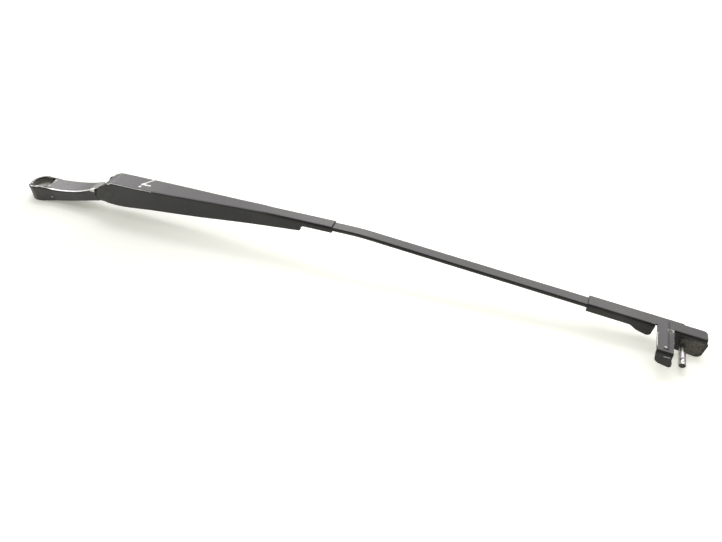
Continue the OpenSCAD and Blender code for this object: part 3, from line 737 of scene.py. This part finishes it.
def bare_metal(name, colour, rough, rings=0.0, spots=0.0, pit_from=0.66, dark_end=None):
    """Bare or plated metal, with turning marks round the Y axis, dark spots and an oxide-dark end."""
    material, nodes, where, shader = new_material(name)
    stretched = nodes.add("ShaderNodeMapping", {"Vector": where, "Scale": TURNING_SCALE}).outputs[0]
    marks = nodes.noise(stretched, scale=420.0, detail=3.0)
    cloud = nodes.noise(where, scale=160.0, detail=4.0, rough=0.65)
    dull = nodes.math("MULTIPLY", nodes.step(cloud, 0.45, 0.75), 0.5)
    base = nodes.blend(dull, opaque(colour), opaque(colour, 0.55))
    pits = nodes.step(nodes.noise(where, scale=700.0), pit_from, pit_from + 0.06)
    stained = nodes.math("MULTIPLY", pits, spots)
    base = nodes.blend(stained, base, PIT_COLOUR)
    roughness = nodes.math("MULTIPLY_ADD", cloud, 0.25, rough - 0.12)
    roughness = nodes.math("MULTIPLY_ADD", stained, 0.35, roughness)
    if dark_end is not None:
        place = nodes.add("ShaderNodeSeparateXYZ", {0: where}).outputs[1]
        end = nodes.step(place, dark_end, dark_end - OXIDE_EDGE)
        base = nodes.blend(end, base, nodes.blend(cloud, OXIDE_DARK, OXIDE_PALE))
        roughness = nodes.mix(end, roughness, 0.6)
    height = nodes.math("MULTIPLY_ADD", pits, -0.5 * spots, nodes.math("MULTIPLY", marks, rings))
    nodes.feed(shader, {"Base Color": base, "Roughness": roughness,
                        "Normal": nodes.bump(height, 0.5, METAL_DEPTH)})
    shader.inputs["Metallic"].default_value = 1.0
    return material


NYLON_DEPTH = 0.04 * MM


def moulded_nylon(name, colour):
    """Natural nylon, uneven in its yellow tint."""
    material, nodes, where, shader = new_material(name)
    tint = nodes.noise(where, scale=220.0)
    yellow = (colour[0], colour[1] * 0.94, colour[2] * 0.82, 1.0)
    nodes.feed(shader, {"Base Color": nodes.blend(tint, opaque(colour), yellow),
                        "Roughness": nodes.math("MULTIPLY_ADD", tint, 0.1, 0.38),
                        "Normal": nodes.bump(nodes.noise(where, scale=900.0), 0.2, NYLON_DEPTH)})
    return material


# The head's edges that are painted pale, as wear and along the near top edge also as a painted
# highlight: how far they turn, in degrees, how far the near top edge's strips lean to the near side,
# and the least upward part of their normals
CREST_TURN = (5, 60)
CREST_LEAN = (8, 38)
CREST_UP = 0.6
SHARP_TURN = (40, 180)
SHARP_UP = 0.3
WEAR_AND_HIGHLIGHT_REACH = 0.95 * MM
# The groove behind the cheek, from the cover's lowest corner along X and up, in millimetres
GROOVE_LINE = ((3.5, -7.0), (1.0, -2.5), (-0.9, 0.3), (-1.5, 4.7), (-0.4, 8.4), (2.1, 13.2))
# Where the head's edges are painted pale: along the near rim a little, from there to the hinge fully,
# where the pale band is wear and a painted highlight of the rim, at the corner beside the cover and on
# the pocket's front rim
NEAR_EDGE_Y = HEAD_LOW.y + 3 * MM
HEAD_SPOTS = [(Vector((x, NEAR_EDGE_Y, 0.016)), 13 * MM, 0.85) for x in (-0.002, 0.008, 0.018)]
HEAD_SPOTS += [(Vector((x, NEAR_EDGE_Y, z)), 13 * MM, 1.9)
               for x, z in ((0.030, 0.017), (0.040, 0.018), (0.050, 0.020), (0.060, 0.022))]
HEAD_SPOTS += [(mm(71, -7, 26), 8 * MM, 2.4), (mm(-6, -3, 15), 14 * MM, 0.85)]
# Patches on the head, as satin_paint takes them
HEAD_PATCHES = (
    # A pale dusty-metal patch where the pocket runs out into the ramp: painted light on a face in shade
    (mm(11.8, 0, 12.5), mm(3.4, 6.6, 3.6), (0.42, 0.42, 0.39), 0.5, 0.3, 0.7),
    # The scuffed top in front of the cover and the bright chip at its near corner
    (mm(76.5, 0.5, 27.5), mm(5.0, 6.8, 3.0), (0.24, 0.24, 0.22), 0.4, 0.2, 0.62),
    (mm(74.8, -6.6, 26.4), mm(3.0, 1.8, 1.8), (0.85, 0.85, 0.83), 0.4, 0.5, 0.72),
    # Painted shade: a near-black patch in the corner behind the cheek, where the gap lies in shade
    (COVER_LOW + mm(-0.8, 1.3, 1.4), mm(1.1, 1.7, 3.6), (0.002, 0.002, 0.002), 0.95, 0, 1.0),
    # A dark speck on the ramp and a pale one on the near side
    (mm(33.6, 2.2, 13.5), mm(1.2, 0.9, 4.0), (0.012, 0.012, 0.012), 0.7, 0, 1.0),
    (Vector((0.0193, HEAD_LOW.y, 0.0075)), mm(0.9, 3.0, 0.9), (0.5, 0.5, 0.46), 0.5, 0, 1.0),
)


class WIPER_OT_head(bpy.types.Operator):
    """Cast head: the solid's copy, remeshed and smoothed into a die casting with soft edges"""
    bl_idname = "wiper.head"
    bl_label = "Cast Head"

    def execute(self, context):
        shape = context.scene.wiper_shape
        finish = context.scene.wiper_finish
        head = copy_of("head", "cast_head")
        # Marks the near top edge's strips, painted pale as wear and as a painted highlight, and the sharp upper
        # edges
        crest = outward_line_points(
            head, CREST_TURN, lambda n: CREST_LEAN[0] < near_tilt(n) < CREST_LEAN[1] and n.z > CREST_UP)
        crest += outward_line_points(head, SHARP_TURN, lambda n: n.z > SHARP_UP)
        apply_modifier(head, "REMESH", mode="VOXEL", voxel_size=shape.casting_voxel)
        apply_modifier(head, "SMOOTH", factor=0.5, iterations=shape.casting_smooth)
        behind = [Vector((COVER_LOW.x + dx * MM, COVER_LOW.z + dz * MM)) for dx, dz in GROOVE_LINE]
        press_groove(head, behind, half_width=1.5 * MM, depth=3.6 * MM, beyond=3.5 * MM, outer=8.2 * MM)
        mark_inside(head)
        widths = half_widths(head)
        for vert in head.data.vertices:
            vert.co = shaped_eye(vert.co, widths)
        smooth(head, ANY_ANGLE)
        mark_near(head, [shaped_eye(point, widths) for point in crest], WEAR_AND_HIGHLIGHT_REACH)
        paint = satin_paint("head_paint", finish.head_paint, wear=0.5, spots=HEAD_SPOTS,
                            patches=HEAD_PATCHES, dust=1.0, inside=finish.pocket_metal_and_light)
        finish_piece(head, paint, "root", "cast_paint", "head")
        return {"FINISHED"}


class WIPER_OT_hinge(bpy.types.Operator):
    """Rivet with domed heads, and bushes, anchor pin and link, each with softened edges"""
    bl_idname = "wiper.hinge"
    bl_label = "Hinge And Link"

    def execute(self, context):
        shape = context.scene.wiper_shape
        finish = context.scene.wiper_finish
        nylon = moulded_nylon("bush_nylon", finish.nylon)
        steel = bare_metal("anchor_steel", finish.pin_steel, rough=0.34, rings=0.5)
        zinc = bare_metal("link_zinc", finish.zinc_plate, rough=0.45, spots=0.5)
        rivet_paint = satin_paint("rivet_paint", finish.cover_paint, wear=0.5)
        rows = (
            ("hinge_bush_near", "bush_near", "root", "nylon", nylon),
            ("hinge_bush_far", "bush_far", "root", "nylon", nylon),
            ("hinge_rivet", "rivet", "arm", "black_paint", rivet_paint),
            ("anchor_pin", "spring_anchor", "root", "bare_steel", steel),
            ("spring_link", "link_plate", "link", "zinc_plate", zinc),
        )
        for node, name, body, slot, material in rows:
            piece = copy_of(node, name)
            if node == "hinge_rivet":
                dome_caps(piece, COVER_HIGH.y, HINGE, radius=piece.dimensions.z / 2, height=0.2 * MM)
                mark_edges(piece)
            else:
                soften(piece, shape.small_edge)
            finish_piece(piece, material, body, slot, node)
        return {"FINISHED"}


class WIPER_OT_spring(bpy.types.Operator):
    """Tension spring, its wire rounded"""
    bl_idname = "wiper.spring"
    bl_label = "Tension Spring"

    def execute(self, context):
        spring = copy_of("tension_spring", "coil_spring")
        apply_modifier(spring, "SUBSURF", levels=1, render_levels=1)
        smooth(spring, ANY_ANGLE)
        # The rounded wire is swollen back to the solid's thickness
        apply_modifier(spring, "DISPLACE", strength=0.1 * MM, mid_level=0)
        zinc = bare_metal("spring_zinc", context.scene.wiper_finish.zinc_plate, rough=0.42, spots=0.3)
        finish_piece(spring, zinc, "spring", "zinc_plate", "tension_spring")
        return {"FINISHED"}


# The pen tick on the cover's top: start, end and half width of each stroke, in millimetres
TICK = (
    ((141.8, 8.8, 0), (135.0, -1.0, 0), 0.85),
    ((135.0, -0.9, 0), (136.3, 0.6, 0), 1.3),
    ((135.5, -0.9, 0), (143.5, -0.9, 0), 0.9),
    ((134.5, -4.6, 0), (134.9, -4.3, 0), 1.15),
)
# The near top bend is painted pale from the hinge on, less and less, as wear and as a painted highlight
# along the bend: distance along X and strength. The spots lie this far below the top and reach this far
BEND_WEAR_AND_HIGHLIGHT = ((8, 1.9), (18, 1.8), (30, 1.25), (42, 0.95))
BEND_DOWN = 2 * MM
BEND_REACH = 12 * MM
# A dusty patch on the near cheek behind the rivet
CHEEK_PATCH = (Vector((HINGE.x - 11 * MM, COVER_LOW.y, HINGE.z - 5 * MM)), mm(7, 1, 9),
               (0.034, 0.033, 0.023), 0.42, 0, 0.6)


class WIPER_OT_cover(bpy.types.Operator):
    """Channel cover folded from one sheet, with a white pen tick on its top"""
    bl_idname = "wiper.cover"
    bl_label = "Channel Cover"

    def execute(self, context):
        shape = context.scene.wiper_shape
        finish = context.scene.wiper_finish
        cover = copy_of("retainer", "channel_cover")
        tighten_bends(cover, radius=2.4 * MM, from_x=HINGE.x - 4 * MM)
        soften(cover, shape.sheet_edge)
        # The first strip of the near top bend past the hinge is marked for its painted highlight
        mark_edges(cover, crest=(HINGE.x + 3 * MM, HINGE.x + 52 * MM))
        tick = [(mm(*start), mm(*stop), width * MM) for start, stop, width in TICK]
        bend = Vector((HINGE.x, COVER_LOW.y, COVER_HIGH.z - BEND_DOWN))
        spots = [(bend + mm(along, 0, 0), BEND_REACH, strength) for along, strength in BEND_WEAR_AND_HIGHLIGHT]
        paint = satin_paint("cover_paint", finish.cover_paint, wear=0.55, spots=spots, strokes=tick,
                            patches=[CHEEK_PATCH])
        finish_piece(cover, paint, "arm", "black_paint", "retainer")
        return {"FINISHED"}


class WIPER_OT_rod(bpy.types.Operator):
    """Flat rod with its bend and the tab that the spring pulls on"""
    bl_idname = "wiper.rod"
    bl_label = "Flat Rod"

    def execute(self, context):
        shape = context.scene.wiper_shape
        finish = context.scene.wiper_finish
        rod = copy_of("rod", "flat_rod")
        soften(rod, shape.sheet_edge)
        mark_edges(rod)
        paint = satin_paint("rod_paint", finish.cover_paint, wear=0.7)
        finish_piece(rod, paint, "arm", "black_paint", "rod")
        return {"FINISHED"}


# Where the tip is rubbed: the strap's root, the pin's plate and the strap's left edge
STRAP_ROOT = PIN_MIDDLE + mm(-11, 8, 12.8)
TIP_SPOTS = (
    (STRAP_ROOT, 4.5 * MM, 1.6),
    (PIN_MIDDLE + mm(7, 9, 2), 9 * MM, 0.8),
    (PIN_MIDDLE + mm(-20.5, -3, 13.5), 9 * MM, 1.0),
)
# Patches on the tip, as satin_paint takes them
TIP_PATCHES = (
    # The scratched end plate
    (PIN_MIDDLE + mm(5.0, 9.2, 1.0), mm(7.5, 2.0, 7.0), (0.125, 0.115, 0.095), 0.45, 0.1, 0.56),
    # A pale line along the lip's edge, a painted highlight, and a chip on the strap
    (PIN_MIDDLE + mm(-12.6, -14.3, 9.8), mm(2.2, 1.5, 0.35), (0.5, 0.49, 0.46), 0.4, 0.5, 0.8),
    (PIN_MIDDLE + mm(-14.6, -8.6, 13.6), mm(0.8, 0.6, 1.5), (0.42, 0.41, 0.40), 0.45, 0.3, 0.7),
    # Scuffs at the strap's root
    (STRAP_ROOT, mm(2.4, 2.0, 1.6), (0.5, 0.48, 0.46), 0.4, 0.5, 0.42),
)


class WIPER_OT_tip(bpy.types.Operator):
    """Tip folded from one sheet: clamp, strap, lip and end plate"""
    bl_idname = "wiper.tip"
    bl_label = "Folded Tip"

    def execute(self, context):
        shape = context.scene.wiper_shape
        finish = context.scene.wiper_finish
        tip = copy_of("tip_bracket", "folded_tip")
        close_notch(tip)
        lower_rib(tip)
        soften(tip, shape.sheet_edge)
        mark_edges(tip)
        paint = satin_paint("tip_paint", finish.cover_paint, wear=0.55, spots=TIP_SPOTS,
                            patches=TIP_PATCHES, dust=1.0)
        finish_piece(tip, paint, "arm", "black_paint", "tip_bracket")
        return {"FINISHED"}


class WIPER_OT_pin(bpy.types.Operator):
    """Bare steel side pin with its riveted end"""
    bl_idname = "wiper.pin"
    bl_label = "Side Pin"

    def execute(self, context):
        shape = context.scene.wiper_shape
        finish = context.scene.wiper_finish
        pin = copy_of("side_pin", "turned_pin")
        soften(pin, shape.small_edge)
        steel = bare_metal("pin_steel", finish.pin_steel, rough=0.42, rings=0.8, spots=1.0,
                           pit_from=0.56, dark_end=PIN_LOW.y + 0.35 * MM)
        finish_piece(pin, steel, "arm", "bare_steel", "side_pin")
        return {"FINISHED"}


# The camera's place and direction in the arm's frame, in metres
CAMERA_PLACE = Vector((0.49642, -0.34159, 0.34441))
CAMERA_LOOK = Vector((-0.29125, 0.67221, -0.68067))
CAMERA_ROLL = math.radians(-2.77)

# The lamps stand together over the arm, a small one in a very wide one
LAMP_AIM = Vector((ARM_MIDDLE, 0, 0.02))
LAMP_PLACE = LAMP_AIM + Vector((-0.10, 0.50, 1.35))
LAMP_COLOUR = (0.99, 0.99, 1.0)
KEY_SIZE = (0.5, 0.35)
SOFT_SIZE = (2.4, 2.6)
# Panels behind the arm: left end, right end and share of the panels' radiance
BACK_PANELS = (
    (-3.20, -1.38, 0.76), (-1.38, -0.90, 0.43), (-0.90, -0.45, 0.60), (-0.45, 0.05, 1.20),
    (0.05, 0.60, 0.80), (0.60, 1.40, 0.86))
PANEL_COLOUR = (1.0, 0.955, 0.975)
PANEL_DEPTH = 1.20
PANEL_HEIGHT = 1.33
PANEL_TALL = 1.5
# The panel at the left that lights the near edges
RIM_PLACE = Vector((-1.05, 0.15, 1.15))
RIM_AIM = Vector((0.06, 0, 0.02))
RIM_SIZE = (0.5, 0.35)

TABLE_SIZE = 8
TABLE_GLOW = (1.0, 1.0, 0.89, 1.0)
# The camera sees the table get whiter by the third value from the first to the second: far from the
# arm, where it fades into the surroundings, and towards the tip, where the photo's shadow fades
FADE_AWAY = (0.5, 1.3, 0.6)
FADE_ALONG = (0.08, 0.30, 0.14)

# The even light and how much stronger it is from behind
FILL_COLOUR = (1.0, 1.0, 0.84, 1.0)
FILL_TILT = 0.45
# What gloss sees above and in front of the arm, where the photo's room is dimmer
DIM_ABOVE = (0.12, 0.35)
DIM_FRONT = (0.35, 0.05)
DIM_LEVEL = 0.25


def add_lamp(name, place, aim, size, power, colour):
    """A soft rectangular lamp that faces a point."""
    deselect_all()
    bpy.ops.object.light_add(type="AREA", location=place)
    lamp = bpy.context.object
    lamp.name = name
    lamp.rotation_euler = (aim - place).to_track_quat("-Z", "Y").to_euler()
    lamp.data.shape = "RECTANGLE"
    lamp.data.size, lamp.data.size_y = size
    lamp.data.energy = power
    lamp.data.color = colour
    return lamp


def add_panel(name, place, aim, size, glow, colour):
    """A lit panel of a given radiance that only gloss mirrors, so that it lights no floor or wall."""
    lamp = add_lamp(name, place, aim, size, glow * math.pi * size[0] * size[1], colour)
    lamp.visible_diffuse = False


def seen_or_reflected(nodes):
    """1 for rays from the camera and rays off gloss."""
    path = nodes.add("ShaderNodeLightPath").outputs
    return nodes.math("MAXIMUM", path["Is Camera Ray"], path["Is Glossy Ray"])


def make_table(stage):
    """The white table top: its own white is for the camera and for gloss only, and it keeps the shadow."""
    bpy.ops.mesh.primitive_plane_add(size=TABLE_SIZE, location=(ARM_MIDDLE, 0, 0))
    floor = bpy.context.object
    floor.name = "table_top"
    floor.data.transform(Matrix.Translation(floor.location))
    floor.location = (0, 0, 0)
    material, nodes, where, shader = new_material("white_table")
    shader.inputs["Base Color"].default_value = opaque(stage.floor_colour)
    shader.inputs["Roughness"].default_value = 0.8
    shader.inputs["Specular IOR Level"].default_value = 0.1
    glow = nodes.math("MULTIPLY", seen_or_reflected(nodes), stage.floor_glow)
    start, stop, most = FADE_AWAY
    away = nodes.measure("DISTANCE", where, (ARM_MIDDLE, 0, 0))
    fade = nodes.math("MULTIPLY", nodes.step(away, start, stop), most)
    start, stop, most = FADE_ALONG
    along = nodes.add("ShaderNodeSeparateXYZ", {0: where}).outputs[0]
    fade = nodes.math("MULTIPLY_ADD", nodes.step(along, start, stop), most, fade)
    seen = nodes.add("ShaderNodeLightPath").outputs["Is Camera Ray"]
    glow = nodes.math("MULTIPLY_ADD", fade, seen, glow)
    shader.inputs["Emission Color"].default_value = TABLE_GLOW
    nodes.feed(shader, {"Emission Strength": glow})
    floor.data.materials.append(material)
    return floor


def light_arm(stage):
    """The two lamps overhead, the panels behind that the paint mirrors and the panel for the rims."""
    for name, size, power in (("key_lamp", KEY_SIZE, stage.key_power),
                              ("soft_lamp", SOFT_SIZE, stage.soft_power)):
        lamp = add_lamp(name, LAMP_PLACE, LAMP_AIM, size, power, LAMP_COLOUR)
        lamp.visible_glossy = False
    for index, (left, right, share) in enumerate(BACK_PANELS):
        x = (left + right) / 2
        add_panel("back_panel_%d" % index, Vector((x, PANEL_DEPTH, PANEL_HEIGHT)), Vector((x, 0, 0.02)),
                  (right - left, PANEL_TALL), stage.panel_glow * share, PANEL_COLOUR)
    add_panel("rim_panel", RIM_PLACE, RIM_AIM, RIM_SIZE, stage.rim_glow, WHITE[:3])


def light_surroundings(scene, stage):
    """Even light, a little stronger from behind, and a white room for the camera and for gloss."""
    world = bpy.data.worlds.new("surroundings")
    scene.world = world
    world.use_nodes = True
    world.node_tree.nodes.clear()
    nodes = Nodes(world.node_tree)
    heading = nodes.add("ShaderNodeTexCoord").outputs["Generated"]
    parts = nodes.add("ShaderNodeSeparateXYZ", {0: heading}).outputs
    tilt = nodes.math("MULTIPLY_ADD", parts[1], FILL_TILT, 1.0)
    fill = nodes.math("MULTIPLY", tilt, stage.fill_strength)
    even = nodes.add("ShaderNodeBackground", {"Color": FILL_COLOUR, "Strength": fill})
    above = nodes.step(parts[2], *DIM_ABOVE)
    in_front = nodes.step(parts[1], *DIM_FRONT)
    glossy = nodes.add("ShaderNodeLightPath").outputs["Is Glossy Ray"]
    dim = nodes.math("MULTIPLY", nodes.math("MULTIPLY", above, in_front), glossy)
    white = nodes.add("ShaderNodeBackground", {"Color": WHITE, "Strength": nodes.mix(dim, 1.0, DIM_LEVEL)})
    pick = nodes.add("ShaderNodeMixShader",
                     {0: seen_or_reflected(nodes), 1: even.outputs[0], 2: white.outputs[0]})
    out = nodes.add("ShaderNodeOutputWorld")
    world.node_tree.links.new(pick.outputs[0], out.inputs[0])


def add_camera(scene, stage):
    """The camera at the photo's place and angle."""
    deselect_all()
    bpy.ops.object.camera_add(location=CAMERA_PLACE)
    camera = bpy.context.object
    camera.name = "photo_camera"
    camera.rotation_mode = "QUATERNION"
    roll = Quaternion((0, 0, 1), CAMERA_ROLL)
    camera.rotation_quaternion = CAMERA_LOOK.to_track_quat("-Z", "Y") @ roll
    camera.data.sensor_fit = "HORIZONTAL"
    camera.data.sensor_width = 36
    camera.data.lens = stage.lens
    camera.data.clip_start = 0.01
    camera.data.clip_end = 30
    camera.data.dof.use_dof = False
    scene.camera = camera


class WIPER_OT_stage(bpy.types.Operator):
    """White table top, soft lamps, pale surroundings and the camera"""
    bl_idname = "wiper.stage"
    bl_label = "Stage"

    def execute(self, context):
        stage = context.scene.wiper_stage
        deselect_all()
        floor = make_table(stage)
        light_arm(stage)
        light_surroundings(context.scene, stage)
        add_camera(context.scene, stage)
        context.scene.view_settings.view_transform = "Standard"
        return {"FINISHED"}


class WIPER_PT_panel(bpy.types.Panel):
    """Lists the steps that make the wiper arm"""
    bl_idname = "WIPER_PT_panel"
    bl_label = "Wiper Arm"
    bl_space_type = "VIEW_3D"
    bl_region_type = "UI"
    bl_category = "Wiper Arm"

    def draw(self, context):
        for step in STEPS:
            self.layout.operator(step.bl_idname)
        for group in (context.scene.wiper_finish, context.scene.wiper_shape, context.scene.wiper_stage):
            box = self.layout.box()
            for key in group.__annotations__:
                box.prop(group, key)


SETTINGS = (FinishSettings, ShapeSettings, StageSettings)
STEPS = (WIPER_OT_head, WIPER_OT_hinge, WIPER_OT_spring, WIPER_OT_cover, WIPER_OT_rod, WIPER_OT_tip,
         WIPER_OT_pin, WIPER_OT_stage)


def register():
    for item in SETTINGS + STEPS + (WIPER_PT_panel,):
        bpy.utils.register_class(item)
    bpy.types.Scene.wiper_finish = PointerProperty(type=FinishSettings)
    bpy.types.Scene.wiper_shape = PointerProperty(type=ShapeSettings)
    bpy.types.Scene.wiper_stage = PointerProperty(type=StageSettings)


def unregister():
    del bpy.types.Scene.wiper_finish
    del bpy.types.Scene.wiper_shape
    del bpy.types.Scene.wiper_stage
    for item in reversed(SETTINGS + STEPS + (WIPER_PT_panel,)):
        bpy.utils.unregister_class(item)


def main():
    register()
    for step in (bpy.ops.wiper.head, bpy.ops.wiper.hinge, bpy.ops.wiper.spring, bpy.ops.wiper.cover,
                 bpy.ops.wiper.rod, bpy.ops.wiper.tip, bpy.ops.wiper.pin, bpy.ops.wiper.stage):
        step()


if __name__ == "__main__":
    main()
